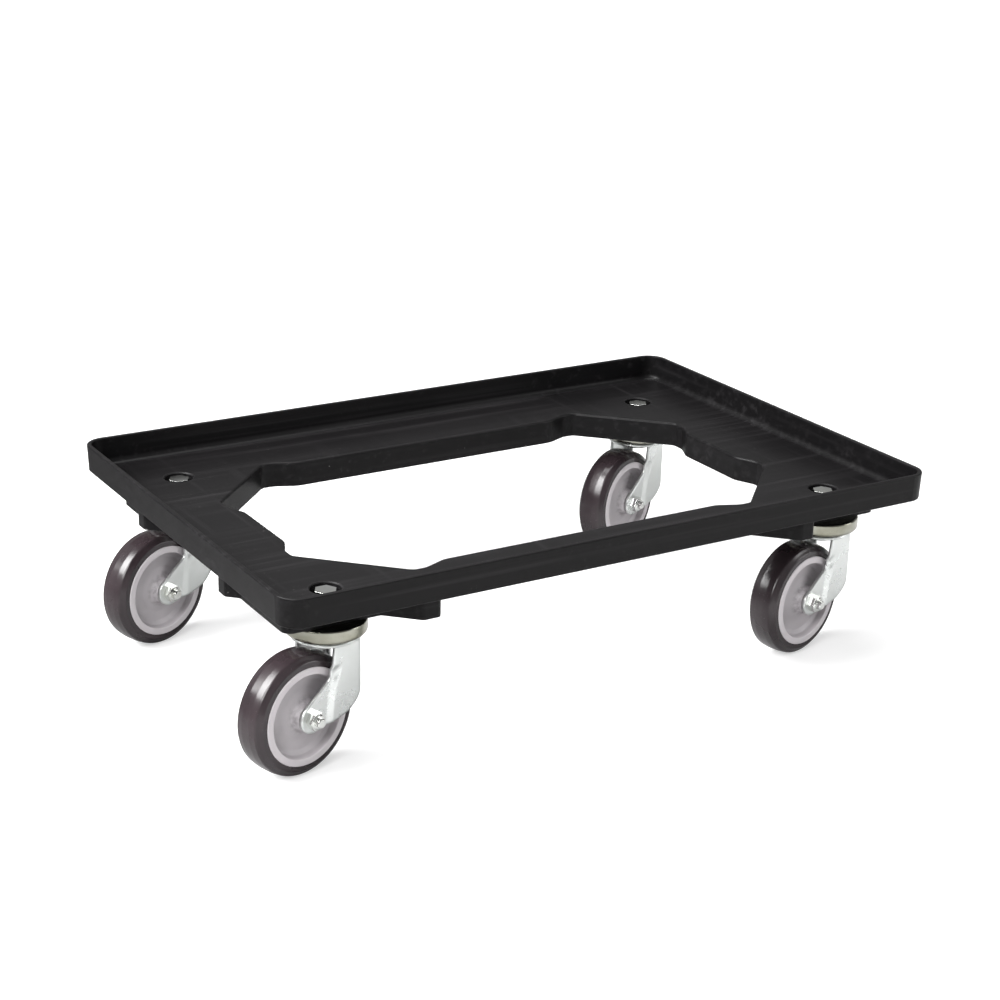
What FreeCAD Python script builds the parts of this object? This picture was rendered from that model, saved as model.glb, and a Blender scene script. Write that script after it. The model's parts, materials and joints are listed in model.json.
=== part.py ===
import FreeCAD, Part
import math
import os

# Open crate dolly: a moulded deck frame on four swivel casters.
# Millimetres. The origin is on the floor, below the middle of the whole object as it stands.
# +X runs along the deck's long side, +Y across it, and +Z is up.
# Every piece is drawn about the deck's centre, then moved along +X by DECK_CENTRE_X,
# because two of the wheels trail out past the deck's -X end.
DECK_CENTRE_X = 8.0

# Deck
DECK_LENGTH = 615.0
DECK_WIDTH = 415.0
CORNER_RADIUS = 19.0
RIM_TOP = 167.5
DECK_TOP = 143.0
PLATE_UNDERSIDE = 140.0
MOUNT_PLANE = 120.5
RIM_FOOT = 143.4
RIM_WALL = 4.0
RIM_DRAFT = 1.0
RIM_SECTION_DEPTH = 14.0
RIM_UNDERCUT_START = 4.2
RIM_UNDERCUT_END = 8.7
RIM_ROUNDING = 1.2
RIM_INNER_FILLET = 6.0
FRAME_WALL = 3.5
RIB_THICKNESS = 3.0
GUSSET_THICKNESS = 2.6
GUSSET_TIP_LONG = 197.0
GUSSET_TIP_SHORT = 297.0
LONG_RIB_PITCH = 40.0
SHORT_RIB_PITCH = 36.0
OPENING_FILLET = 2.5
BOSS_RADIUS = 19.0

# Through opening: half distances to its edges, and to the 45 degree corner along both axes
OPENING_LONG_EDGE = 131.0
OPENING_SHORT_EDGE = 227.0
OPENING_DIAGONAL = 304.5
OPENING_STEP = 8.5
STEP_START = 31.0
LONG_STEP_END = 11.0
SHORT_STEP_END = 13.0

# Outer outline of the deep frame under the plate: beams along the sides and caster pads at the corners
BEAM_LONG_OUTER = 150.0
BEAM_SHORT_OUTER = 262.0
PAD_LONG_OUTER = 163.0
PAD_SHORT_OUTER = 287.0

# Wings stand out from the pads on the long sides, and ears on the short sides
STRAIGHT_WING_START = 165.0
STRAIGHT_WING_END = 182.0
STRAIGHT_WING_REACH = 187.0
SLANTED_WING_START = 183.5
SLANTED_WING_END = 198.0
SLANTED_WING_REACH = 189.0
EAR_REACH = 296.0
NEAR_EAR_FOOT = 58.0
NEAR_EAR_TOP = 73.0
FAR_EAR_FOOT = 92.0
FAR_EAR_TOP = 107.0

# Straight ribs under the plate
CROSS_RIB_LENGTH = 150.0
LONG_RIB_LENGTH = 130.0
RADIAL_RIB_LENGTH = 110.0
CORNER_RIB_LENGTH = 170.0
CORNER_RIB_PLACE = 0.82

# Deck fixings
BOLT_X = 243.0
BOLT_Y = 142.5
BOLT_RADIUS = 4.95
BOLT_CLEARANCE_RADIUS = 5.5
BOLT_HEAD_FLATS = 16.0
BOLT_HEAD_HEIGHT = 6.4
BOLT_HEAD_CHAMFER = 1.4
BOLT_END = 101.5
RECESS_RADIUS = 12.6
RECESS_FLOOR = 133.6
FIXING_WASHER_RADIUS = 10.5
FIXING_WASHER_THICKNESS = 1.8

# Caster, in its own frame: swivel axis on Z, wheel trailing along +X, nut side +Y
TRAIL = 31.85
AXLE_HEIGHT = 50.0
WHEEL_RADIUS = 50.0
CROWNED_TREAD_HALF_WIDTH = 4.0
SHOULDER_RADIUS = 49.2
SHOULDER_HALF_WIDTH = 10.2
CREASE_RADIUS = 46.5
CREASE_HALF_WIDTH = 12.2
SIDEWALL_RADIUS = 44.4
TYRE_HALF_WIDTH = 14.0
HUB_RADIUS = 40.1
HUB_HALF_WIDTH = 14.8
HUB_RING_INNER = 34.3
HUB_RECESS_RADIUS = 33.0
HUB_RECESS_HALF_WIDTH = 9.0
WEB_OUTER_RADIUS = 29.0
WEB_OUTER_HALF_WIDTH = 7.2
WEB_INNER_RADIUS = 20.5
WEB_INNER_HALF_WIDTH = 7.8
HUB_CONE_RADIUS = 13.4
HUB_CONE_HALF_WIDTH = 10.4
HUB_BOSS_RADIUS = 11.2
HUB_BOSS_HALF_WIDTH = 16.6
HUB_BORE_RADIUS = 8.0
BUSH_HALF_WIDTH = 16.8
SLEEVE_RADIUS = 6.0
SLEEVE_RUNNING_CLEARANCE = 0.05
SLEEVE_BORE_RADIUS = 4.05
EYE_INNER = 17.8
SHEET = 2.5
LEG_OFFSET = 2.0
LEG_REAR = -18.4
LEG_REAR_ROUNDING = 28.0
LEG_EDGE_ROUNDING = 5.0
JOGGLE_HALF_WIDTH = 2.4
JOGGLE_TOP = 86.0
JOGGLE_HEEL = 4.5
JOGGLE_KNEE_X = 9.5
JOGGLE_KNEE_HEIGHT = 76.5
JOGGLE_SHIN_X = 13.2
JOGGLE_SHIN_HEIGHT = 65.0
JOGGLE_FOOT_X = 15.5
LEG_LOWER_SLOPE = -12.1
LEG_UPPER_SLOPE = 53.5
LEG_FRONT_AT_CROWN = 10.2
LEG_NECK_FRONT = 13.0
LEG_NECK_HEIGHT = 86.0
LEG_SHOULDER_FRONT = 13.6
LEG_SHOULDER_HEIGHT = 78.0
ROLL_EDGE = 14.0
LEG_FRONT_LIMIT = 60.0
EYE_RADIUS = 11.6
AXLE_RADIUS = 4.0
AXLE_END = 31.2
AXLE_HEAD_FLATS = 13.0
AXLE_HEAD_HEIGHT = 5.3
AXLE_HEAD_CHAMFER = 1.2
AXLE_THREAD_CHAMFER = 0.8
AXLE_NUT_HEIGHT = 6.2
NUT_COLLAR_HEIGHT = 0.9
NUT_COLLAR_RADIUS = 6.2
NUT_COLLAR_TOP_RADIUS = 5.2
AXLE_WASHER_RADIUS = 9.6
AXLE_WASHER_THICKNESS = 0.5

# Swivel head
CUP_RADIUS = 32.4
CUP_LIP = 108.4
CUP_TURN_RADIUS = 4.4
CUP_TOP_ROUNDING = 2.0
CUP_SHEET = 2.2
CUP_RACE_INNER = 13.5
CUP_RACE_OUTER = 25.0
CUP_RACE_UNDERSIDE = 115.4
CROWN_RADIUS = 27.6
CROWN_UNDERSIDE = 104.3
CROWN_SHEET = 3.0
DOME_TOP = 110.6
DOME_RADIUS = 23.4
DOME_SPREAD = 1.4
CROWN_HOLE_RADIUS = 9.0
KINGPIN_RADIUS = 8.0
KINGPIN_BORE_RADIUS = 5.0
KINGPIN_FLANGE_RADIUS = 16.0
KINGPIN_FLANGE_TOP = 102.8
KINGPIN_END = 99.6
BALL_COUNT = 14
UPPER_BALL_RADIUS = 3.6
UPPER_BALL_PITCH = 19.0
UPPER_BALL_HEIGHT = 113.0
UPPER_RACE_CLEARANCE = 0.35
LOWER_BALL_RADIUS = 2.4
LOWER_BALL_PITCH = 12.8
LOWER_BALL_HEIGHT = 104.9
LOWER_RACE_CLEARANCE = 0.35
SEAL_INNER = 25.2
SEAL_OUTER = 26.3
SEAL_TOP = 110.4

# Where each caster stands, and how far its wheel has swung round at rest
CASTERS = {
    "front_left": (-BOLT_X, -BOLT_Y, 195.5),
    "front_right": (BOLT_X, -BOLT_Y, 194.5),
    "rear_left": (-BOLT_X, BOLT_Y, 199.0),
    "rear_right": (BOLT_X, BOLT_Y, 202.5),
}

UP = FreeCAD.Vector(0, 0, 1)
ACROSS = FreeCAD.Vector(0, 1, 0)
CENTRE = FreeCAD.Vector(0, 0, 0)


def rounded_wire(points, radii):
    """Closed planar wire through the points, each corner rounded by its radius."""
    count = len(points)
    starts = []
    ends = []
    middles = []
    for index in range(count):
        corner = points[index]
        back = (points[index - 1] - corner).normalize()
        ahead = (points[(index + 1) % count] - corner).normalize()
        half_angle = back.getAngle(ahead) / 2
        radius = radii[index]
        setback = radius / math.tan(half_angle)
        bisector = (back + ahead).normalize()
        starts.append(corner + back * setback)
        ends.append(corner + ahead * setback)
        middles.append(corner + bisector * (radius / math.sin(half_angle) - radius))
    edges = []
    for index in range(count):
        if radii[index] > 0:
            edges.append(Part.Arc(starts[index], middles[index], ends[index]).toShape())
        following = starts[(index + 1) % count]
        if (following - ends[index]).Length > 1e-6:
            edges.append(Part.LineSegment(ends[index], following).toShape())
    return Part.Wire(Part.__sortEdges__(edges))


def plan_prism(points, radii, bottom, top):
    """Upright prism over a plan outline."""
    corners = [FreeCAD.Vector(x, y, bottom) for x, y in points]
    return Part.Face(rounded_wire(corners, radii)).extrude(UP * (top - bottom))


def turned(points, radii, axis):
    """Solid of revolution: each point is a radius and a distance along the axis."""
    if axis == UP:
        corners = [FreeCAD.Vector(radius, 0, along) for radius, along in points]
    else:
        corners = [FreeCAD.Vector(radius, along, 0) for radius, along in points]
    return Part.Face(rounded_wire(corners, radii)).revolve(CENTRE, axis, 360)


def offset_outline(points, inset):
    """Outline whose edges are moved inwards by the inset; the points run anticlockwise."""
    moved = []
    count = len(points)
    for index in range(count):
        before = FreeCAD.Vector(*points[index - 1], 0)
        here = FreeCAD.Vector(*points[index], 0)
        after = FreeCAD.Vector(*points[(index + 1) % count], 0)
        arriving = (here - before).normalize()
        leaving = (after - here).normalize()
        normal_in = UP.cross(arriving)
        normal_out = UP.cross(leaving)
        scale = inset / (1 + normal_in.dot(normal_out))
        shift = (normal_in + normal_out) * scale
        moved.append((here.x + shift.x, here.y + shift.y))
    return moved


def hexagon_prism(flats, bottom, top):
    """Hexagonal bar along Z, given its distance across flats."""
    corner_radius = flats / math.sqrt(3)
    points = []
    for index in range(6):
        angle = math.radians(60 * index)
        points.append((corner_radius * math.cos(angle), corner_radius * math.sin(angle)))
    return plan_prism(points, [0] * 6, bottom, top)


def chamfered_hexagon(flats, bottom, top, chamfer):
    """Hexagonal head whose upper corners are turned off in a cone."""
    head = hexagon_prism(flats, bottom, top)
    reach = flats / math.sqrt(3)
    flat_radius = flats / 2 - 0.3
    cone = Part.makeCone(reach + chamfer, flat_radius, chamfer, FreeCAD.Vector(0, 0, top - chamfer / 2), UP)
    turned_top = cone.common(hexagon_prism(flats * 2, top - chamfer / 2, top))
    upper = head.common(turned_top)
    lower = hexagon_prism(flats, bottom, top - chamfer / 2)
    return lower.fuse(upper).removeSplitter()


# ---------------------------------------------------------------- deck


def rim_profile():
    """Section of the upstanding rim: distance in from the outer face, and height."""
    points = [
        (0.0, RIM_TOP),
        (RIM_DRAFT, RIM_FOOT),
        (RIM_UNDERCUT_START, RIM_FOOT),
        (RIM_UNDERCUT_END, PLATE_UNDERSIDE),
        (RIM_SECTION_DEPTH, PLATE_UNDERSIDE),
        (RIM_SECTION_DEPTH, DECK_TOP),
        (RIM_WALL + RIM_DRAFT / 2, DECK_TOP),
        (RIM_WALL, RIM_TOP),
    ]
    radii = [RIM_ROUNDING, RIM_ROUNDING, 1.0, 1.0, 0, 0, RIM_INNER_FILLET, 0.9]
    return points, radii


def rim_section_face(outward, anchor):
    """Rim section standing at the anchor, facing outward."""
    points, radii = rim_profile()
    corners = []
    for inset, height in points:
        place = anchor - outward * inset
        corners.append(FreeCAD.Vector(place.x, place.y, height))
    return Part.Face(rounded_wire(corners, radii))


def rim():
    """Rim all round: four straight runs joined by quarter turns."""
    half_length = DECK_LENGTH / 2
    half_width = DECK_WIDTH / 2
    straight_x = half_length - CORNER_RADIUS
    straight_y = half_width - CORNER_RADIUS
    pieces = []
    runs = [
        (FreeCAD.Vector(1, 0, 0), FreeCAD.Vector(half_length, -straight_y, 0), 2 * straight_y),
        (FreeCAD.Vector(0, 1, 0), FreeCAD.Vector(straight_x, half_width, 0), 2 * straight_x),
        (FreeCAD.Vector(-1, 0, 0), FreeCAD.Vector(-half_length, straight_y, 0), 2 * straight_y),
        (FreeCAD.Vector(0, -1, 0), FreeCAD.Vector(-straight_x, -half_width, 0), 2 * straight_x),
    ]
    for outward, anchor, run in runs:
        along = UP.cross(outward)
        section = rim_section_face(outward, anchor)
        pieces.append(section.extrude(along * run))
        end_section = rim_section_face(outward, anchor + along * run)
        pivot = anchor + along * run - outward * CORNER_RADIUS
        pieces.append(end_section.revolve(pivot, UP, 90))
    return pieces[0].multiFuse(pieces[1:])


def deck_plate():
    """Flat plate inside the rim."""
    inset = RIM_SECTION_DEPTH - 2
    half_length = DECK_LENGTH / 2 - inset
    half_width = DECK_WIDTH / 2 - inset
    outline = [
        (-half_length, -half_width),
        (half_length, -half_width),
        (half_length, half_width),
        (-half_length, half_width),
    ]
    return plan_prism(outline, [CORNER_RADIUS - inset] * 4, PLATE_UNDERSIDE, DECK_TOP)


def opening_outline():
    """Through opening: straight edges, a step beside each corner and a 45 degree corner."""
    diagonal_long = OPENING_DIAGONAL - OPENING_LONG_EDGE - OPENING_STEP
    diagonal_short = OPENING_DIAGONAL - OPENING_SHORT_EDGE - OPENING_STEP
    quadrant = [
        (OPENING_SHORT_EDGE, diagonal_short - STEP_START),
        (OPENING_SHORT_EDGE + OPENING_STEP, diagonal_short - SHORT_STEP_END),
        (OPENING_SHORT_EDGE + OPENING_STEP, diagonal_short),
        (diagonal_long, OPENING_LONG_EDGE + OPENING_STEP),
        (diagonal_long - LONG_STEP_END, OPENING_LONG_EDGE + OPENING_STEP),
        (diagonal_long - STEP_START, OPENING_LONG_EDGE),
    ]
    quadrant_radii = [14.0, 12.0, 7.0, 9.0, 16.0, 20.0]
    points = []
    radii = []
    for sign_x, sign_y in ((1, 1), (-1, 1), (-1, -1), (1, -1)):
        corner = [(sign_x * x, sign_y * y) for x, y in quadrant]
        corner_radii = list(quadrant_radii)
        if sign_x * sign_y < 0:
            corner.reverse()
            corner_radii.reverse()
        points.extend(corner)
        radii.extend(corner_radii)
    return points, radii


def frame_outline():
    """Outer outline of the deep frame, the same after half a turn."""
    straight_side = [
        (STRAIGHT_WING_START, BEAM_LONG_OUTER),
        (STRAIGHT_WING_START, STRAIGHT_WING_REACH),
        (STRAIGHT_WING_END, STRAIGHT_WING_REACH),
        (STRAIGHT_WING_END + STRAIGHT_WING_REACH - PAD_LONG_OUTER, PAD_LONG_OUTER),
        (PAD_SHORT_OUTER, PAD_LONG_OUTER),
        (PAD_SHORT_OUTER, NEAR_EAR_TOP + EAR_REACH - PAD_SHORT_OUTER),
        (EAR_REACH, NEAR_EAR_TOP),
        (EAR_REACH, NEAR_EAR_FOOT),
        (BEAM_SHORT_OUTER, NEAR_EAR_FOOT),
    ]
    slanted_side = [
        (SLANTED_WING_START - SLANTED_WING_REACH + BEAM_LONG_OUTER, BEAM_LONG_OUTER),
        (SLANTED_WING_START, SLANTED_WING_REACH),
        (SLANTED_WING_END, SLANTED_WING_REACH),
        (SLANTED_WING_END, PAD_LONG_OUTER),
        (PAD_SHORT_OUTER, PAD_LONG_OUTER),
        (PAD_SHORT_OUTER, FAR_EAR_TOP),
        (EAR_REACH, FAR_EAR_TOP),
        (EAR_REACH, FAR_EAR_FOOT),
        (BEAM_SHORT_OUTER, FAR_EAR_FOOT - EAR_REACH + BEAM_SHORT_OUTER),
    ]
    straight_radii = [3.0, 5.0, 5.0, 3.0, 8.0, 3.0, 4.0, 4.0, 3.0]
    slanted_radii = [3.0, 4.0, 4.0, 3.0, 8.0, 3.0, 3.0, 4.0, 3.0]
    points = [(x, -y) for x, y in slanted_side]
    points += [(x, y) for x, y in reversed(straight_side)]
    points += [(-x, y) for x, y in slanted_side]
    points += [(-x, -y) for x, y in reversed(straight_side)]
    radii = slanted_radii + straight_radii[::-1] + slanted_radii + straight_radii[::-1]
    return points, radii


def upright_strip(centre_x, centre_y, length, heading, thickness):
    """Thin upright wall from the mount plane to the plate, centred on a point."""
    wall = Part.makeBox(
        length, thickness, PLATE_UNDERSIDE - MOUNT_PLANE,
        FreeCAD.Vector(-length / 2, -thickness / 2, MOUNT_PLANE))
    wall.rotate(CENTRE, UP, heading)
    wall.translate(FreeCAD.Vector(centre_x, centre_y, 0))
    return wall


def frame_ribs():
    """Ribs inside the hollow beams and around the caster bosses."""
    ribs = []
    beam_y = (OPENING_LONG_EDGE + BEAM_LONG_OUTER) / 2
    beam_x = (OPENING_SHORT_EDGE + BEAM_SHORT_OUTER) / 2
    for side in (-1, 1):
        for step in range(-3, 4):
            ribs.append(upright_strip(step * LONG_RIB_PITCH, side * beam_y, 30.0, 90, RIB_THICKNESS))
        for step in (-1, 0, 1):
            ribs.append(upright_strip(side * beam_x, step * SHORT_RIB_PITCH, 50.0, 0, RIB_THICKNESS))
    for x, y, _ in CASTERS.values():
        inward = math.degrees(math.atan2(y, x))
        ribs.append(upright_strip(x, y, CROSS_RIB_LENGTH, 0, RIB_THICKNESS))
        ribs.append(upright_strip(x, y, LONG_RIB_LENGTH, 90, RIB_THICKNESS))
        ribs.append(upright_strip(x, y, RADIAL_RIB_LENGTH, inward, RIB_THICKNESS))
        across = math.copysign(45, -x * y)
        corner_x = CORNER_RIB_PLACE * x
        corner_y = CORNER_RIB_PLACE * y
        ribs.append(upright_strip(corner_x, corner_y, CORNER_RIB_LENGTH, across, RIB_THICKNESS))
    return ribs


def boss(x, y, radius):
    """Solid boss that carries the clamping load of one caster bolt."""
    return Part.makeCylinder(radius, PLATE_UNDERSIDE - MOUNT_PLANE, FreeCAD.Vector(x, y, MOUNT_PLANE))


def frame_pockets():
    """Hollows under the plate, between the frame walls, ribs and bosses."""
    outer_points, outer_radii = frame_outline()
    inner_points, inner_radii = opening_outline()
    outer_corners = [max(radius - 1.5, 1.0) for radius in outer_radii]
    inner_corners = [radius + FRAME_WALL for radius in inner_radii]
    room = plan_prism(offset_outline(outer_points, FRAME_WALL), outer_corners, MOUNT_PLANE, PLATE_UNDERSIDE)
    hole = plan_prism(offset_outline(inner_points, -FRAME_WALL), inner_corners, MOUNT_PLANE, PLATE_UNDERSIDE)
    kept = frame_ribs() + [boss(x, y, BOSS_RADIUS) for x, y, _ in CASTERS.values()]
    return room.cut([hole] + kept)


def gusset(side, inner, outer, place, along_x):
    """Tapered rib from the frame wall out to the rim."""
    root = side * (inner - 1.0)
    tip = side * outer
    corners = [
        (root, MOUNT_PLANE + 3.0),
        (root, PLATE_UNDERSIDE + 1.0),
        (tip, PLATE_UNDERSIDE + 1.0),
        (tip, PLATE_UNDERSIDE),
    ]
    start = place - GUSSET_THICKNESS / 2
    if along_x:
        points = [FreeCAD.Vector(start, reach, height) for reach, height in corners]
        push = FreeCAD.Vector(GUSSET_THICKNESS, 0, 0)
    else:
        points = [FreeCAD.Vector(reach, start, height) for reach, height in corners]
        push = FreeCAD.Vector(0, GUSSET_THICKNESS, 0)
    return Part.Face(Part.makePolygon(points + [points[0]])).extrude(push)


def gussets():
    """Tapered ribs along the four sides, between the caster pads."""
    pieces = []
    for side in (-1, 1):
        for step in range(-3, 4):
            pieces.append(gusset(side, BEAM_LONG_OUTER, GUSSET_TIP_LONG, step * LONG_RIB_PITCH, True))
        for step in (-1, 0, 1):
            pieces.append(gusset(side, BEAM_SHORT_OUTER, GUSSET_TIP_SHORT, step * SHORT_RIB_PITCH, False))
    return pieces


def opening_top_edges(shape):
    """Edges where the deck surface meets the opening."""
    found = []
    for edge in shape.Edges:
        box = edge.BoundBox
        level = abs(box.ZMin - DECK_TOP) < 1e-4 and abs(box.ZMax - DECK_TOP) < 1e-4
        inside = max(abs(box.XMin), abs(box.XMax)) < BEAM_SHORT_OUTER - 20
        inside = inside and max(abs(box.YMin), abs(box.YMax)) < BEAM_LONG_OUTER - 5
        near_bolt = False
        for x, y, _ in CASTERS.values():
            offset = math.hypot(box.Center.x - x, box.Center.y - y)
            near_bolt = near_bolt or offset < RECESS_RADIUS
        if level and inside and not near_bolt:
            found.append(edge)
    return found


def deck():
    """Moulded deck: rim, plate, deep frame, ribs, bosses and bolt recesses in one piece."""
    outer_points, outer_radii = frame_outline()
    hole_points, hole_radii = opening_outline()
    frame = plan_prism(outer_points, outer_radii, MOUNT_PLANE, PLATE_UNDERSIDE + 1.5)
    body = rim().fuse([deck_plate(), frame] + gussets())
    body = body.cut(frame_pockets())
    opening = plan_prism(hole_points, hole_radii, MOUNT_PLANE - 5, DECK_TOP + 5)
    body = body.cut(opening).removeSplitter()
    body = body.makeFillet(OPENING_FILLET, opening_top_edges(body))
    cutters = []
    for x, y, _ in CASTERS.values():
        recess = Part.makeCylinder(RECESS_RADIUS, 20, FreeCAD.Vector(x, y, RECESS_FLOOR))
        hole = Part.makeCylinder(BOLT_CLEARANCE_RADIUS, 60, FreeCAD.Vector(x, y, MOUNT_PLANE - 5))
        lead_in = Part.makeCone(
            RECESS_RADIUS, RECESS_RADIUS + 1.0, 1.0, FreeCAD.Vector(x, y, DECK_TOP - 0.8))
        cutters += [recess, hole, lead_in]
    return body.cut(cutters)


def fixing_bolt():
    """Hexagon bolt that clamps one caster through the deck."""
    seat = RECESS_FLOOR + FIXING_WASHER_THICKNESS
    head = chamfered_hexagon(BOLT_HEAD_FLATS, seat, seat + BOLT_HEAD_HEIGHT, BOLT_HEAD_CHAMFER)
    shank = Part.makeCylinder(BOLT_RADIUS, seat - BOLT_END + 1, FreeCAD.Vector(0, 0, BOLT_END))
    return head.fuse(shank).removeSplitter()


def fixing_washer():
    """Flat washer under the bolt head."""
    foot = FreeCAD.Vector(0, 0, RECESS_FLOOR)
    outer = Part.makeCylinder(FIXING_WASHER_RADIUS, FIXING_WASHER_THICKNESS, foot)
    return outer.cut(Part.makeCylinder(BOLT_CLEARANCE_RADIUS, FIXING_WASHER_THICKNESS, foot))


def at_each_caster(shape):
    """One copy of the shape on every swivel axis, kept as separate solids."""
    copies = []
    for x, y, _ in CASTERS.values():
        copy = shape.copy()
        copy.translate(FreeCAD.Vector(x, y, 0))
        copies.append(copy)
    return Part.makeCompound(copies)


# ---------------------------------------------------------------- swivel head


def ball_track(pitch, height, radius):
    """Ring-shaped groove that a row of balls runs in."""
    return Part.makeTorus(pitch, radius, FreeCAD.Vector(0, 0, height), UP)


def top_cup():
    """Pressed cup clamped against the deck; its underside is the upper ball race."""
    lip_radius = CUP_RADIUS - CUP_TURN_RADIUS
    points = [
        (KINGPIN_RADIUS, MOUNT_PLANE),
        (CUP_RADIUS, MOUNT_PLANE),
        (CUP_RADIUS, CUP_LIP),
        (lip_radius, CUP_LIP),
        (lip_radius, CUP_LIP + CUP_SHEET),
        (CUP_RADIUS - CUP_SHEET, CUP_LIP + CUP_SHEET),
        (CUP_RADIUS - CUP_SHEET, MOUNT_PLANE - CUP_SHEET),
        (CUP_RACE_OUTER, MOUNT_PLANE - CUP_SHEET),
        (CUP_RACE_OUTER, CUP_RACE_UNDERSIDE),
        (CUP_RACE_INNER, CUP_RACE_UNDERSIDE),
        (CUP_RACE_INNER, MOUNT_PLANE - CUP_SHEET),
        (KINGPIN_RADIUS, MOUNT_PLANE - CUP_SHEET),
    ]
    turn_inside = CUP_TURN_RADIUS - CUP_SHEET - 0.1
    radii = [0, CUP_TOP_ROUNDING, CUP_TURN_RADIUS - 0.6, 0.5, 0.5, turn_inside, 1.5, 0, 1.0, 1.0, 0, 0]
    cup = turned(points, radii, UP)
    groove = UPPER_BALL_RADIUS + UPPER_RACE_CLEARANCE
    return cup.cut(ball_track(UPPER_BALL_PITCH, UPPER_BALL_HEIGHT, groove))


def kingpin():
    """Hollow pin on the swivel axis with a peened flange that holds the fork up."""
    points = [
        (KINGPIN_BORE_RADIUS, KINGPIN_END),
        (KINGPIN_FLANGE_RADIUS, KINGPIN_END),
        (KINGPIN_FLANGE_RADIUS, KINGPIN_FLANGE_TOP),
        (KINGPIN_RADIUS, KINGPIN_FLANGE_TOP),
        (KINGPIN_RADIUS, MOUNT_PLANE),
        (KINGPIN_BORE_RADIUS, MOUNT_PLANE),
    ]
    pin = turned(points, [0.4, 1.2, 0.5, 0.4, 0, 0], UP)
    groove = LOWER_BALL_RADIUS + LOWER_RACE_CLEARANCE
    return pin.cut(ball_track(LOWER_BALL_PITCH, LOWER_BALL_HEIGHT, groove))


def ball_row(pitch, height, radius):
    """Evenly spaced balls of one race."""
    balls = []
    for index in range(BALL_COUNT):
        angle = 2 * math.pi * index / BALL_COUNT
        centre = FreeCAD.Vector(pitch * math.cos(angle), pitch * math.sin(angle), height)
        balls.append(Part.makeSphere(radius, centre))
    return Part.makeCompound(balls)


def dust_seal():
    """Plastic ring standing on the crown flange, just inside the cup."""
    bottom = CROWN_UNDERSIDE + CROWN_SHEET
    points = [(SEAL_INNER, bottom), (SEAL_OUTER, bottom), (SEAL_OUTER, SEAL_TOP), (SEAL_INNER, SEAL_TOP)]
    return turned(points, [0, 0, 0.4, 0.4], UP)


# ---------------------------------------------------------------- fork


def crown():
    """Dished crown of the fork: flange, raised race and clearance hole."""
    points = [
        (CROWN_HOLE_RADIUS, DOME_TOP - CROWN_SHEET),
        (DOME_RADIUS - CROWN_SHEET, DOME_TOP - CROWN_SHEET),
        (DOME_RADIUS - CROWN_SHEET + DOME_SPREAD, CROWN_UNDERSIDE),
        (CROWN_RADIUS, CROWN_UNDERSIDE),
        (CROWN_RADIUS, CROWN_UNDERSIDE + CROWN_SHEET),
        (DOME_RADIUS + DOME_SPREAD, CROWN_UNDERSIDE + CROWN_SHEET),
        (DOME_RADIUS, DOME_TOP),
        (CROWN_HOLE_RADIUS, DOME_TOP),
    ]
    shape = turned(points, [0.4, 1.2, 0.8, 1.2, 1.2, 0.4, 1.2, 0.4], UP)
    groove = UPPER_BALL_RADIUS + 0.1
    return shape.cut(ball_track(UPPER_BALL_PITCH, UPPER_BALL_HEIGHT, groove))


def leg_side_view():
    """Side outline of a leg: wide at the crown, tapering forward and down to the eye."""
    top = CROWN_UNDERSIDE + 1.0
    lower_slope = math.radians(LEG_LOWER_SLOPE)
    lower_tangent = FreeCAD.Vector(
        TRAIL + EYE_RADIUS * math.sin(lower_slope), 0, AXLE_HEIGHT - EYE_RADIUS * math.cos(lower_slope))
    upper_tangent = math.radians(LEG_UPPER_SLOPE)
    points = [
        FreeCAD.Vector(LEG_REAR, 0, top),
        FreeCAD.Vector(LEG_REAR, 0, AXLE_HEIGHT - 0.5),
        lower_tangent,
        FreeCAD.Vector(TRAIL, 0, AXLE_HEIGHT),
        FreeCAD.Vector(
            TRAIL + EYE_RADIUS * math.cos(upper_tangent), 0,
            AXLE_HEIGHT + EYE_RADIUS * math.sin(upper_tangent)),
        FreeCAD.Vector(LEG_SHOULDER_FRONT, 0, LEG_SHOULDER_HEIGHT),
        FreeCAD.Vector(LEG_NECK_FRONT, 0, LEG_NECK_HEIGHT),
        FreeCAD.Vector(LEG_FRONT_AT_CROWN, 0, top),
    ]
    outline = rounded_wire(points, [0, LEG_REAR_ROUNDING, 0, 0, 0, 7.0, 10.0, 0])
    blade = Part.Face(outline).extrude(ACROSS * 30)
    eye = Part.makeCylinder(EYE_RADIUS, 30, FreeCAD.Vector(TRAIL, 0, AXLE_HEIGHT), ACROSS)
    return blade.fuse(eye).removeSplitter()


def leg_panel():
    """Leg from above before its cavity is taken out: flat face, with its rear edge rolled round."""
    outer = EYE_INNER + SHEET + LEG_OFFSET
    points = [
        (LEG_FRONT_LIMIT, outer),
        (LEG_REAR, outer),
        (LEG_REAR, ROLL_EDGE),
        (LEG_FRONT_LIMIT, ROLL_EDGE),
    ]
    return plan_prism(points, [0, LEG_EDGE_ROUNDING, 1.0, 0], 0, CROWN_UNDERSIDE + 1.0)


def leg_cavity():
    """Space between the legs, up to the inner face of the offset panel."""
    inner = EYE_INNER + LEG_OFFSET
    rear = LEG_REAR + SHEET
    points = [(LEG_FRONT_LIMIT + 1.0, inner), (rear, inner), (rear, 0), (LEG_FRONT_LIMIT + 1.0, 0)]
    inside_rounding = LEG_EDGE_ROUNDING - SHEET
    return plan_prism(points, [0, inside_rounding, 0, 0], -1.0, CROWN_UNDERSIDE + 2.0)


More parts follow.
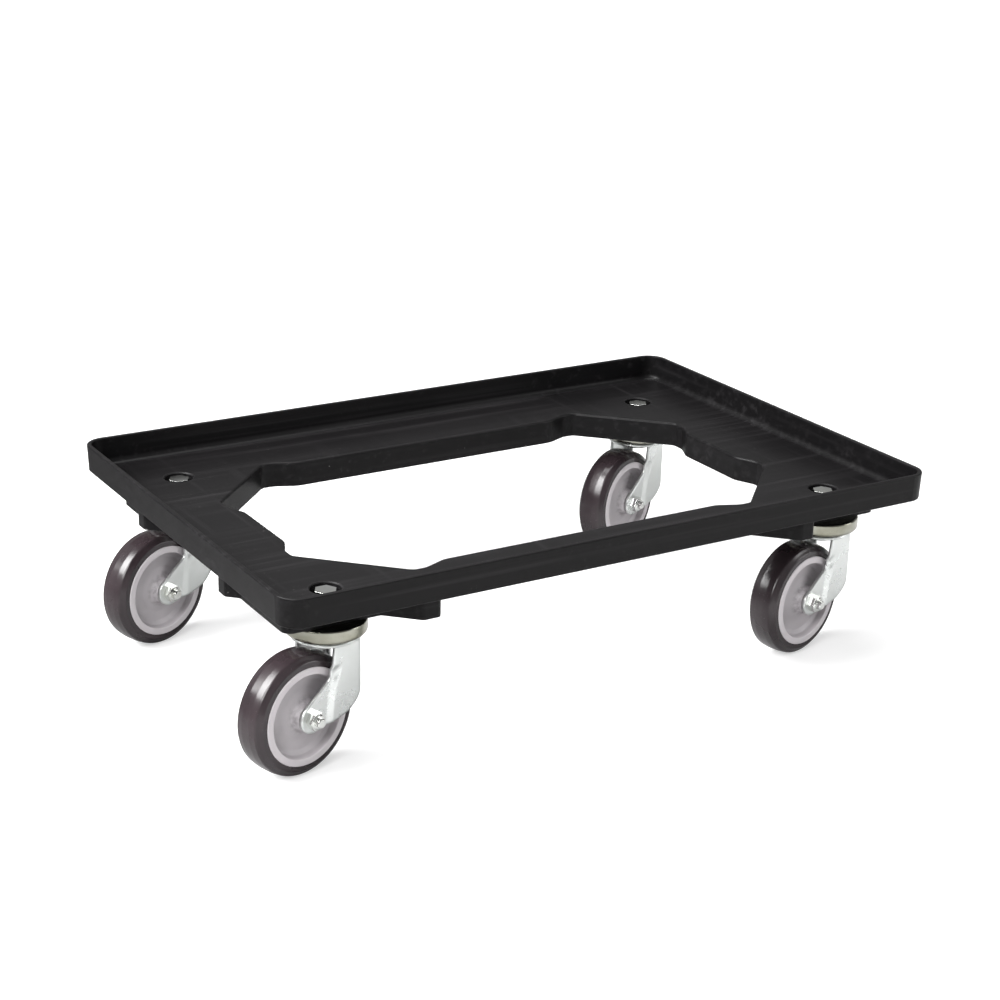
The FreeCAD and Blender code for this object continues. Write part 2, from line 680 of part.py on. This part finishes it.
def joggle_outline(grow, depth):
    """Outline of the pressed-in eye area at one depth, moved outwards by grow."""
    corners = [
        (LEG_FRONT_LIMIT, JOGGLE_TOP + grow),
        (JOGGLE_HEEL - grow, JOGGLE_TOP + grow),
        (JOGGLE_KNEE_X - grow, JOGGLE_KNEE_HEIGHT),
        (JOGGLE_SHIN_X - grow, JOGGLE_SHIN_HEIGHT),
        (JOGGLE_FOOT_X - grow, AXLE_HEIGHT),
        (JOGGLE_FOOT_X - grow, 0),
        (LEG_FRONT_LIMIT, 0),
    ]
    points = [FreeCAD.Vector(x, depth, height) for x, height in corners]
    return rounded_wire(points, [0, 3.0, 20.0, 30.0, 30.0, 0, 0])


def joggle(start, run):
    """Sloping step between the eye area and the offset panel, from a start depth outwards."""
    slope = 2 * JOGGLE_HALF_WIDTH / LEG_OFFSET
    inner = joggle_outline(-JOGGLE_HALF_WIDTH, start)
    outer = joggle_outline(-JOGGLE_HALF_WIDTH + slope * run, start + run)
    return Part.makeLoft([inner, outer], True, True)


def leg():
    """One leg: a flat eye area pressed inwards from the panel that carries the rolled rear edge."""
    pressed_in = joggle(EYE_INNER + SHEET, LEG_OFFSET + 0.5)
    raised = joggle(EYE_INNER, LEG_OFFSET + 0.5)
    outside = leg_panel().cut(pressed_in)
    inside = leg_cavity().cut(raised)
    return leg_side_view().common(outside.cut(inside))


def fork():
    """Pressed steel fork: crown and two legs."""
    near_leg = leg()
    far_leg = near_leg.mirror(CENTRE, ACROSS)
    shape = crown().fuse([near_leg, far_leg])
    bore = Part.makeCylinder(AXLE_RADIUS + 0.1, 80, FreeCAD.Vector(TRAIL, -40, AXLE_HEIGHT), ACROSS)
    return shape.cut(bore).removeSplitter()


# ---------------------------------------------------------------- wheel and axle


def on_axle(shape):
    """Moves a shape made around the Y axis onto the axle."""
    shape.translate(FreeCAD.Vector(TRAIL, 0, AXLE_HEIGHT))
    return shape


def both_sides(half, half_radii):
    """Closed section from its outer half, mirrored about the wheel's middle plane."""
    mirrored = [(radius, -along) for radius, along in reversed(half)]
    return half + mirrored, half_radii + half_radii[::-1]


def wheel_hub():
    """Moulded hub: outer ring, dished web and centre boss."""
    half = [
        (HUB_RADIUS, HUB_HALF_WIDTH),
        (HUB_RING_INNER, HUB_HALF_WIDTH),
        (HUB_RECESS_RADIUS, HUB_RECESS_HALF_WIDTH),
        (WEB_OUTER_RADIUS, WEB_OUTER_HALF_WIDTH),
        (WEB_INNER_RADIUS, WEB_INNER_HALF_WIDTH),
        (HUB_CONE_RADIUS, HUB_CONE_HALF_WIDTH),
        (HUB_BOSS_RADIUS, HUB_BOSS_HALF_WIDTH),
        (HUB_BORE_RADIUS, HUB_BOSS_HALF_WIDTH),
    ]
    points, radii = both_sides(half, [0.6, 0.8, 1.6, 3.0, 6.0, 2.4, 0.8, 0.3])
    return on_axle(turned(points, radii, ACROSS))


def tyre():
    """Moulded tyre with a crowned tread and a creased shoulder on each side."""
    half = [
        (HUB_RADIUS, -TYRE_HALF_WIDTH),
        (SIDEWALL_RADIUS, -TYRE_HALF_WIDTH),
        (CREASE_RADIUS, -CREASE_HALF_WIDTH),
        (SHOULDER_RADIUS, -SHOULDER_HALF_WIDTH),
        (WHEEL_RADIUS, -CROWNED_TREAD_HALF_WIDTH),
    ]
    points, radii = both_sides(half, [0, 1.6, 1.2, 2.6, 9.0])
    return on_axle(turned(points, radii, ACROSS))


def wheel_bush():
    """Plain bearing bush pressed into the hub."""
    inner = SLEEVE_RADIUS + SLEEVE_RUNNING_CLEARANCE
    half = [(HUB_BORE_RADIUS, BUSH_HALF_WIDTH), (inner, BUSH_HALF_WIDTH)]
    points, radii = both_sides(half, [0, 0])
    return on_axle(turned(points, radii, ACROSS))


def axle_sleeve():
    """Steel tube between the fork eyes that the wheel turns on."""
    half = [(SLEEVE_RADIUS, EYE_INNER), (SLEEVE_BORE_RADIUS, EYE_INNER)]
    points, radii = both_sides(half, [0, 0])
    return on_axle(turned(points, radii, ACROSS))


def axle_washers():
    """Two thin guard washers between the hub boss and the fork eyes."""
    washers = []
    for side in (-1, 1):
        near = side * (EYE_INNER - AXLE_WASHER_THICKNESS)
        far = side * EYE_INNER
        inner = SLEEVE_RADIUS + 0.02
        points = [(inner, near), (AXLE_WASHER_RADIUS, near), (AXLE_WASHER_RADIUS, far), (inner, far)]
        washers.append(on_axle(turned(points, [0, 0, 0, 0], ACROSS)))
    return Part.makeCompound(washers)


def lay_on_axle(shape, side):
    """Turns a shape made along Z onto the axle, pointing to one side of the fork."""
    shape.rotate(CENTRE, FreeCAD.Vector(1, 0, 0), -90 * side)
    return on_axle(shape)


def axle_bolt():
    """Axle bolt: head against the far leg, threaded end standing out of the nut."""
    face = EYE_INNER + SHEET
    head = chamfered_hexagon(AXLE_HEAD_FLATS, face, face + AXLE_HEAD_HEIGHT, AXLE_HEAD_CHAMFER)
    shank_length = AXLE_END + face + 1
    shank = Part.makeCylinder(AXLE_RADIUS, shank_length, FreeCAD.Vector(0, 0, -AXLE_END))
    bolt = head.fuse(shank).removeSplitter()
    point = [edge for edge in bolt.Edges if abs(edge.BoundBox.ZMax + AXLE_END) < 1e-4]
    return lay_on_axle(bolt.makeChamfer(AXLE_THREAD_CHAMFER, point), -1)


def axle_nut():
    """Hexagon lock nut on the near leg."""
    face = EYE_INNER + SHEET
    body = chamfered_hexagon(AXLE_HEAD_FLATS, face, face + AXLE_NUT_HEIGHT, AXLE_HEAD_CHAMFER)
    collar = Part.makeCone(
        NUT_COLLAR_RADIUS, NUT_COLLAR_TOP_RADIUS, NUT_COLLAR_HEIGHT,
        FreeCAD.Vector(0, 0, face + AXLE_NUT_HEIGHT))
    bore = Part.makeCylinder(AXLE_RADIUS + 0.02, 40, FreeCAD.Vector(0, 0, 0))
    return lay_on_axle(body.fuse(collar).cut(bore).removeSplitter(), 1)


def placed(shape, caster):
    """Puts a caster piece on its swivel axis, turned to the way its wheel trails."""
    x, y, heading = CASTERS[caster]
    copy = shape.copy()
    copy.rotate(CENTRE, UP, heading)
    copy.translate(FreeCAD.Vector(x, y, 0))
    return copy


CASTER_PIECES = {
    "top_cup": top_cup,
    "kingpin": kingpin,
    "upper_balls": lambda: ball_row(UPPER_BALL_PITCH, UPPER_BALL_HEIGHT, UPPER_BALL_RADIUS),
    "lower_balls": lambda: ball_row(LOWER_BALL_PITCH, LOWER_BALL_HEIGHT, LOWER_BALL_RADIUS),
    "dust_seal": dust_seal,
    "fork": fork,
    "axle_bolt": axle_bolt,
    "axle_nut": axle_nut,
    "axle_washers": axle_washers,
    "axle_sleeve": axle_sleeve,
    "wheel_bush": wheel_bush,
    "wheel_hub": wheel_hub,
    "tyre": tyre,
}


def main():
    os.makedirs("parts", exist_ok=True)
    pieces = {
        "deck_frame": deck(),
        "mounting_bolts": at_each_caster(fixing_bolt()),
        "mounting_washers": at_each_caster(fixing_washer()),
    }
    for name, make in CASTER_PIECES.items():
        shape = make()
        for caster in CASTERS:
            pieces[caster + "_" + name] = placed(shape, caster)
    for name, shape in pieces.items():
        shape.translate(FreeCAD.Vector(DECK_CENTRE_X, 0, 0))
        print(name, len(shape.Solids), round(shape.Volume, 1), shape.isValid())
        shape.exportStep(os.path.join("parts", name + ".step"))


main()
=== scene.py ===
import json
import math

import bpy
from mathutils import Matrix, Vector

# The crate dolly in a plain white studio. The CAD nodes are the visible shape, and this script
# paints them, builds the stage and sets the camera. Lengths are metres in the frame of the record.
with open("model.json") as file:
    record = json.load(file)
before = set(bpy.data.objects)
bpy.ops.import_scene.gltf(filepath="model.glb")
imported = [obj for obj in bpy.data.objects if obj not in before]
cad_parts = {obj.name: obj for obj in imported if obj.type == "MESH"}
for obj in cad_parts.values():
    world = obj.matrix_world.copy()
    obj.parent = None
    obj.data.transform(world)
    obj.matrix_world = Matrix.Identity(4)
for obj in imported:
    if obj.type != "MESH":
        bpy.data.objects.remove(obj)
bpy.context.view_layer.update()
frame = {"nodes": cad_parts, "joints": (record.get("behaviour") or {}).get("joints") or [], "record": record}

CASTERS = ("front_left", "front_right", "rear_left", "rear_right")
CASTER_NODES = ("top_cup", "kingpin", "upper_balls", "lower_balls", "dust_seal", "fork", "axle_bolt",
                "axle_nut", "axle_washers", "axle_sleeve", "wheel_bush", "wheel_hub", "tyre")

# Height of the deck's face, where the crate rests
DECK_FACE = frame["record"]["mounts"][0]["pos_m"][2]

# Rings of the hub that differ in tone, as radii about the axle
HUB_WEB_EDGE = 0.0335
HUB_RING_START = 0.0345
HUB_BOSS_DARK_END = 0.0170
HUB_BOSS_DARK_FULL = 0.0125
TURNING_RINGS_PER_METRE = 900.0

# Softness shared by every noise
NOISE_ROUGHNESS = 0.55

# Rounding that the materials give to edges, and samples for finding it
EDGE_SAMPLES = 6
DECK_EDGE = 0.0006
SHEET_EDGE = 0.0030
CUP_EDGE = 0.0006
BOLT_EDGE = 0.0003
WHEEL_EDGE = 0.0004

# Linear colours
DECK_BLACK = (0.0030, 0.0029, 0.0032)
DECK_SOFT_BLACK = (0.0062, 0.0056, 0.0060)
FLOW_LINE_GREY = (0.036, 0.034, 0.036)
FLECK_GREY = (0.16, 0.15, 0.15)
WORN_BLACK = (0.085, 0.083, 0.086)
SHEET_ZINC = (0.78, 0.80, 0.79)
SHEET_ZINC_DULL = (0.71, 0.735, 0.715)
# Cup zinc: painted shade, darkened and tinted olive to stand for the dark tyre and shadowed floor that it
# reflects
CUP_ZINC_PAINTED_DARK = (0.44, 0.44, 0.39)
CUP_ZINC_PAINTED_DARKER = (0.24, 0.235, 0.18)
BOLT_ZINC = (0.84, 0.85, 0.84)
BOLT_ZINC_DULL = (0.70, 0.71, 0.66)
WORN_ZINC = (0.90, 0.91, 0.90)
POLISHED_STEEL = (0.82, 0.83, 0.84)
GREASE = (0.55, 0.50, 0.40)
SEAL_BLACK = (0.03, 0.03, 0.03)
SEAL_DEEP_BLACK = (0.02, 0.02, 0.02)
BUSH_CREAM = (0.72, 0.70, 0.64)
BUSH_CREAM_DULL = (0.6, 0.58, 0.52)
HUB_GREY = (0.49, 0.463, 0.48)
HUB_GREY_DULL = (0.41, 0.385, 0.402)
HUB_RING_GREY = (0.60, 0.565, 0.585)
HUB_EDGE_GREY = (0.62, 0.59, 0.61)
HUB_BOSS_DARK = (0.12, 0.11, 0.115)
TYRE_PLUM = (0.0330, 0.0240, 0.0272)
TYRE_DEEP_PLUM = (0.0210, 0.0150, 0.0172)
TYRE_DUST = (0.12, 0.10, 0.11)
TYRE_WORN = (0.085, 0.055, 0.070)

# Floor: the grey that the camera sees, and darker greys that only reflections see,
# darkest behind the dolly on its left, a painted shade in the dolly's reflections
FLOOR_SIZE = 40.0
FLOOR_SEEN = (0.62, 0.62, 0.62)
FLOOR_MIRRORED_DARK = (0.15, 0.15, 0.15)
FLOOR_MIRRORED_PALE = (0.62, 0.62, 0.62)
FLOOR_DARK_PLACE = -0.9
FLOOR_PALE_PLACE = 0.5
FLOOR_GLOW_NEAR = 0.50
FLOOR_GLOW_FAR = 1.0
FLOOR_GLOW_START = 0.4
FLOOR_GLOW_END = 2.2
WORLD_STRENGTH = 0.34

# Softboxes: place, target, width, height, watts, and spread in degrees
SOFTBOXES = {
    "key_left": ((-1.7, -1.2, 1.5), (0, 0, 0.08), 1.0, 1.0, 34, 180),
    "top": ((0.1, 0.3, 2.2), (0, 0, 0.1), 1.6, 1.2, 30, 180),
    "fill_right": ((1.9, -1.3, 0.9), (0, 0, 0.08), 0.9, 1.2, 14, 180),
    "tyre_glow": ((-1.65, 0.27, 1.55), (-0.26, -0.15, 0.06), 1.5, 1.5, 22, 70),
}

# Camera: where it stands, which way it looks and how much it is rolled
CAMERA_PLACE = Vector((-0.88766, -1.45467, 0.75039))
CAMERA_AZIMUTH = math.radians(31.58)
CAMERA_TILT_DOWN = math.radians(20.05)
CAMERA_ROLL = math.radians(1.40)
CAMERA_LENS = 74.66


# ---------------------------------------------------------------- shader helpers


class Shader:
    """One Principled material and short ways to add and join its nodes."""

    def __init__(self, name, **sockets):
        self.material = bpy.data.materials.new(name)
        self.material.use_nodes = True
        self.tree = self.material.node_tree
        self.surface = self.tree.nodes["Principled BSDF"]
        for socket, value in sockets.items():
            self.surface.inputs[socket.replace("_", " ")].default_value = value

    def node(self, kind, inputs=None, **settings):
        """Adds a node; an input is either a value or the output it is joined to."""
        made = self.tree.nodes.new("ShaderNode" + kind)
        for key, value in settings.items():
            setattr(made, key, value)
        for key, value in (inputs or {}).items():
            if isinstance(value, bpy.types.NodeSocket):
                self.tree.links.new(value, made.inputs[key])
            else:
                made.inputs[key].default_value = value
        return made

    def coordinates(self):
        """Object coordinates, in metres."""
        return self.node("TexCoord").outputs["Object"]

    def stretched(self, scale):
        """Object coordinates multiplied by a scale along each axis."""
        return self.node("VectorMath", {0: self.coordinates(), 1: scale}, operation="MULTIPLY").outputs[0]

    def noise(self, scale, detail, vector=None, distortion=0.0):
        """Soft noise around 0.5, over object coordinates unless others are given."""
        inputs = {"Vector": vector or self.coordinates(), "Scale": scale, "Detail": detail,
                  "Roughness": NOISE_ROUGHNESS, "Distortion": distortion}
        return self.node("TexNoise", inputs).outputs["Fac"]

    def spread(self, value, low, high, to_low=0.0, to_high=1.0):
        """Maps a range of one value onto another, held at the ends."""
        inputs = {"Value": value, "From Min": low, "From Max": high, "To Min": to_low, "To Max": to_high}
        return self.node("MapRange", inputs).outputs["Result"]

    def math(self, operation, first, second):
        """One arithmetic step between two values."""
        return self.node("Math", {0: first, 1: second}, operation=operation).outputs[0]

    def blend(self, factor, first, second):
        """Colour between two colours."""
        made = self.node("Mix", data_type="RGBA")
        for socket, value in ((made.inputs[0], factor), (made.inputs[6], first), (made.inputs[7], second)):
            if isinstance(value, bpy.types.NodeSocket):
                self.tree.links.new(value, socket)
            elif isinstance(value, tuple):
                socket.default_value = value + (1.0,)
            else:
                socket.default_value = value
        return made.outputs[2]

    def edges(self, radius):
        """1 along sharp edges and 0 on flat faces."""
        rounded = self.node("Bevel", {"Radius": radius}, samples=EDGE_SAMPLES).outputs[0]
        plain = self.node("NewGeometry").outputs["Normal"]
        facing = self.node("VectorMath", {0: rounded, 1: plain}, operation="DOT_PRODUCT").outputs["Value"]
        return self.spread(facing, 0.995, 0.86)

    def relief(self, *layers, soften=0.0):
        """Bump from several layers of (height, distance in metres), on edges rounded by soften."""
        normal = None
        if soften:
            normal = self.node("Bevel", {"Radius": soften}, samples=EDGE_SAMPLES).outputs[0]
        for height, distance in layers:
            inputs = {"Height": height, "Distance": distance, "Strength": 1.0}
            if normal is not None:
                inputs["Normal"] = normal
            normal = self.node("Bump", inputs).outputs[0]
        self.tree.links.new(normal, self.surface.inputs["Normal"])

    def join(self, output, socket):
        """Joins an output to a socket of the surface shader."""
        self.tree.links.new(output, self.surface.inputs[socket])


# ---------------------------------------------------------------- materials


def deck_plastic():
    """Black moulded plastic: fine grain, long flow lines, scuffs and paler worn edges."""
    s = Shader("deck_plastic", Specular_IOR_Level=0.16)
    broad = s.noise(7.0, 4.0)
    grain = s.noise(1400.0, 2.0)
    along = s.noise(1.0, 4.0, s.stretched((2.0, 150.0, 150.0)))
    across = s.noise(1.0, 4.0, s.stretched((150.0, 2.0, 150.0)))
    lines = s.math("MULTIPLY", s.spread(along, 0.50, 0.72), s.spread(broad, 0.35, 0.6))
    cross_lines = s.math("MULTIPLY", s.spread(across, 0.56, 0.76), s.spread(broad, 0.6, 0.4))
    streaks = s.math("MAXIMUM", lines, cross_lines)
    fleck_size = s.noise(420.0, 1.0)
    fleck_area = s.noise(16.0, 2.0)
    height = s.node("SeparateXYZ", {0: s.coordinates()}).outputs["Z"]
    on_face = s.spread(height, DECK_FACE + 0.0005, DECK_FACE - 0.0005)
    more_on_face = s.spread(on_face, 0.0, 1.0, 0.15, 1.0)
    fleck_zone = s.math("MULTIPLY", s.spread(fleck_area, 0.58, 0.66), more_on_face)
    flecks = s.math("MULTIPLY", s.spread(fleck_size, 0.71, 0.76), fleck_zone)
    worn = s.math("MULTIPLY", s.edges(0.0012), s.spread(s.noise(90.0, 3.0), 0.3, 0.7, 0.3, 1.0))
    base = s.blend(broad, DECK_BLACK, DECK_SOFT_BLACK)
    base = s.blend(s.math("MULTIPLY", streaks, 0.35), base, FLOW_LINE_GREY)
    base = s.blend(s.math("MULTIPLY", flecks, 0.6), base, FLECK_GREY)
    base = s.blend(s.math("MULTIPLY", worn, 0.45), base, WORN_BLACK)
    s.join(base, "Base Color")
    rough = s.spread(broad, 0.3, 0.7, 0.34, 0.44)
    rough = s.math("ADD", rough, s.math("MULTIPLY", streaks, 0.08))
    s.join(rough, "Roughness")
    s.relief((grain, 0.00003), (broad, 0.0006), (along, 0.00003), soften=DECK_EDGE)
    return s.material


def zinc_steel(name, rough_low, rough_high, pale, darker_tone, soften):
    """Zinc plating over rolled sheet, bright unless given the cup's painted dark colours: cloudy tint, faint
    grain and paler worn edges.
    """
    s = Shader(name, Metallic=1.0)
    cloud = s.noise(26.0, 4.0, distortion=0.4)
    fine = s.noise(380.0, 3.0)
    rolled = s.noise(1.0, 3.0, s.stretched((900.0, 900.0, 60.0)))
    tint = s.blend(s.spread(cloud, 0.35, 0.68), pale, darker_tone)
    tint = s.blend(s.math("MULTIPLY", s.edges(0.0006), 0.30), tint, WORN_ZINC)
    s.join(tint, "Base Color")
    rough = s.spread(cloud, 0.3, 0.7, rough_low, rough_high)
    s.join(s.math("ADD", rough, s.math("MULTIPLY", fine, 0.06)), "Roughness")
    s.relief((rolled, 0.000005), (cloud, 0.00012), soften=soften)
    return s.material


def bearing_steel():
    """Polished balls with a thin film of grease."""
    s = Shader("bearing_steel", Metallic=1.0)
    film = s.noise(240.0, 3.0)
    s.join(s.blend(s.spread(film, 0.4, 0.7), POLISHED_STEEL, GREASE), "Base Color")
    s.join(s.spread(film, 0.3, 0.7, 0.08, 0.24), "Roughness")
    s.relief((film, 0.00001))
    return s.material


def moulded_plastic(name, pale, dark, rough_low, rough_high):
    """Plain moulded plastic with soft colour variation, grain and lighter edges."""
    s = Shader(name, Specular_IOR_Level=0.5)
    broad = s.noise(34.0, 4.0)
    grain = s.noise(1500.0, 2.0)
    tone = s.blend(s.spread(broad, 0.3, 0.7), dark, pale)
    lighter = tuple(min(1.0, channel * 1.25) for channel in pale)
    s.join(s.blend(s.math("MULTIPLY", s.edges(0.0008), 0.35), tone, lighter), "Base Color")
    s.join(s.spread(broad, 0.3, 0.7, rough_low, rough_high), "Roughness")
    s.relief((grain, 0.00002), (broad, 0.00012))
    return s.material


def hub_plastic(caster):
    """Grey moulded hub: faint rings about the axle, cloudy tone, grain and patchy darkening around the boss.
    """
    s = Shader(caster + "_hub_plastic", Specular_IOR_Level=0.5)
    centre, turn = wheel_placement(caster)
    from_centre = {0: s.coordinates(), 1: tuple(centre)}
    placed = s.node("VectorMath", from_centre, operation="SUBTRACT").outputs[0]
    square = s.node("VectorRotate", {"Vector": placed, "Angle": -turn}, rotation_type="Z_AXIS").outputs[0]
    parts = s.node("SeparateXYZ", {0: square})
    flat = s.node("CombineXYZ", {"X": parts.outputs["X"], "Z": parts.outputs["Z"]}).outputs[0]
    radius = s.node("VectorMath", {0: flat}, operation="LENGTH").outputs["Value"]
    ring_place = s.node("CombineXYZ", {"X": s.math("MULTIPLY", radius, TURNING_RINGS_PER_METRE)})
    rings = s.noise(1.0, 2.0, ring_place.outputs[0])
    broad = s.noise(30.0, 4.0)
    grain = s.noise(1500.0, 2.0)
    tone = s.blend(s.spread(broad, 0.3, 0.7), HUB_GREY_DULL, HUB_GREY)
    tone = s.blend(s.spread(radius, HUB_WEB_EDGE, HUB_RING_START), tone, HUB_RING_GREY)
    # Patchy darkening around the boss, where the fork eye meets the hub
    near_boss = s.spread(radius, HUB_BOSS_DARK_END, HUB_BOSS_DARK_FULL)
    boss_dark = s.math("MULTIPLY", near_boss, s.spread(s.noise(260.0, 3.0), 0.4, 0.65))
    tone = s.blend(s.math("MULTIPLY", boss_dark, 0.5), tone, HUB_BOSS_DARK)
    tone = s.blend(s.math("MULTIPLY", s.edges(0.0007), 0.4), tone, HUB_EDGE_GREY)
    s.join(tone, "Base Color")
    s.join(s.spread(broad, 0.3, 0.7, 0.36, 0.46), "Roughness")
    s.relief((grain, 0.00002), (rings, 0.00003), (broad, 0.0001), soften=WHEEL_EDGE)
    return s.material


def tyre_rubber():
    """Dark plum-brown moulded tyre: glossy, with faint dust and a soft mottle."""
    s = Shader("tyre_rubber", Specular_IOR_Level=0.55)
    broad = s.noise(28.0, 4.0)
    fine = s.noise(700.0, 2.0)
    tone = s.blend(s.spread(broad, 0.3, 0.7), TYRE_DEEP_PLUM, TYRE_PLUM)
    dust = s.math("MULTIPLY", s.spread(s.noise(520.0, 2.0), 0.66, 0.74), s.spread(broad, 0.5, 0.62))
    tone = s.blend(s.math("MULTIPLY", dust, 0.3), tone, TYRE_DUST)
    tone = s.blend(s.math("MULTIPLY", s.edges(0.001), 0.25), tone, TYRE_WORN)
    s.join(tone, "Base Color")
    s.join(s.spread(broad, 0.3, 0.7, 0.17, 0.26), "Roughness")
    s.relief((fine, 0.000012), (broad, 0.0002), soften=WHEEL_EDGE)
    return s.material


def wheel_placement(caster):
    """Centre of the wheel at rest, and the turn of its axle about Z."""
    joint = next(j for j in frame["joints"] if j["name"] == caster + "_wheel_spin")
    axis = joint["axis"]
    return Vector(joint["pos_m"]), math.atan2(-axis[0], axis[1])


def paint(node, material):
    """Gives every face of a CAD node one material."""
    mesh = frame["nodes"][node].data
    mesh.materials.clear()
    mesh.materials.append(material)


def paint_all():
    """One material for each kind of piece, and one hub material per wheel."""
    cast = {
        # The cup's colours are painted shade: darkened and olive for the tyre and shadowed floor it reflects
        "top_cup": zinc_steel("zinc_cup", 0.10, 0.18, CUP_ZINC_PAINTED_DARK, CUP_ZINC_PAINTED_DARKER, CUP_EDGE),
        "fork": zinc_steel("zinc_sheet", 0.22, 0.32, SHEET_ZINC, SHEET_ZINC_DULL, SHEET_EDGE),
        "axle_bolt": zinc_steel("zinc_bolt", 0.10, 0.18, BOLT_ZINC, BOLT_ZINC_DULL, BOLT_EDGE),
        "dust_seal": moulded_plastic("seal_plastic", SEAL_BLACK, SEAL_DEEP_BLACK, 0.4, 0.55),
        "wheel_bush": moulded_plastic("bush_plastic", BUSH_CREAM, BUSH_CREAM_DULL, 0.35, 0.5),
        "upper_balls": bearing_steel(),
        "tyre": tyre_rubber(),
    }
    cast["kingpin"] = cast["top_cup"]
    cast["lower_balls"] = cast["upper_balls"]
    for small in ("axle_nut", "axle_washers", "axle_sleeve"):
        cast[small] = cast["axle_bolt"]
    paint("deck_frame", deck_plastic())
    paint("mounting_bolts", cast["axle_bolt"])
    paint("mounting_washers", cast["axle_bolt"])
    for caster in CASTERS:
        hub = hub_plastic(caster)
        for name in CASTER_NODES:
            paint(caster + "_" + name, hub if name == "wheel_hub" else cast[name])


# ---------------------------------------------------------------- stage


def floor():
    """Pale studio floor, brighter towards its distant edge; to reflections it is darker behind the dolly on
    its left, a painted shade.
    """
    bpy.ops.mesh.primitive_plane_add(size=FLOOR_SIZE)
    plane = bpy.context.object
    plane.name = "studio_floor"
    s = Shader("studio_white", Roughness=0.9, Specular_IOR_Level=0.1)
    s.surface.inputs["Emission Color"].default_value = (1, 1, 1, 1)
    seen = s.node("LightPath").outputs["Is Camera Ray"]
    place = s.coordinates()
    spot = s.node("SeparateXYZ", {0: place})
    towards_front_right = s.math("SUBTRACT", spot.outputs["X"], spot.outputs["Y"])
    # Painted shade: reflections see the floor darker behind the dolly on its left
    paleness = s.spread(towards_front_right, FLOOR_DARK_PLACE, FLOOR_PALE_PLACE)
    mirrored = s.blend(paleness, FLOOR_MIRRORED_DARK, FLOOR_MIRRORED_PALE)
    s.join(s.blend(seen, mirrored, FLOOR_SEEN), "Base Color")
    distance = s.node("VectorMath", {0: place}, operation="LENGTH").outputs["Value"]
    glow = s.spread(distance, FLOOR_GLOW_START, FLOOR_GLOW_END, FLOOR_GLOW_NEAR, FLOOR_GLOW_FAR)
    s.join(s.math("MULTIPLY", seen, glow), "Emission Strength")
    plane.data.materials.append(s.material)


def softbox(name, place, target, width, height, power, spread):
    """Rectangular light aimed at a point."""
    data = bpy.data.lights.new(name, "AREA")
    data.shape = "RECTANGLE"
    data.size = width
    data.size_y = height
    data.energy = power
    data.spread = math.radians(spread)
    lamp = bpy.data.objects.new(name, data)
    bpy.context.scene.collection.objects.link(lamp)
    lamp.location = place
    lamp.rotation_euler = (Vector(target) - Vector(place)).to_track_quat("-Z", "Y").to_euler()


def studio():
    """Soft light all round, with a key softbox above and to the left."""
    world = bpy.data.worlds.new("studio")
    bpy.context.scene.world = world
    world.use_nodes = True
    background = world.node_tree.nodes["Background"]
    background.inputs["Color"].default_value = (1.0, 1.0, 1.0, 1)
    background.inputs["Strength"].default_value = WORLD_STRENGTH
    for name, settings in SOFTBOXES.items():
        softbox(name, *settings)


def camera():
    """Camera at its place, turned from the view direction and the roll."""
    data = bpy.data.cameras.new("camera")
    data.lens = CAMERA_LENS
    data.sensor_width = 36.0
    seen = bpy.data.objects.new("camera", data)
    bpy.context.scene.collection.objects.link(seen)
    ahead = Vector((
        math.sin(CAMERA_AZIMUTH) * math.cos(CAMERA_TILT_DOWN),
        math.cos(CAMERA_AZIMUTH) * math.cos(CAMERA_TILT_DOWN),
        -math.sin(CAMERA_TILT_DOWN)))
    level = Vector((math.cos(CAMERA_AZIMUTH), -math.sin(CAMERA_AZIMUTH), 0))
    upward = level.cross(ahead)
    right = level * math.cos(CAMERA_ROLL) + upward * math.sin(CAMERA_ROLL)
    top = upward * math.cos(CAMERA_ROLL) - level * math.sin(CAMERA_ROLL)
    turned = Matrix((right, top, -ahead)).transposed().to_4x4()
    seen.matrix_world = Matrix.Translation(CAMERA_PLACE) @ turned
    bpy.context.scene.camera = seen


paint_all()
floor()
studio()
camera()
bpy.context.scene.view_settings.view_transform = "Standard"
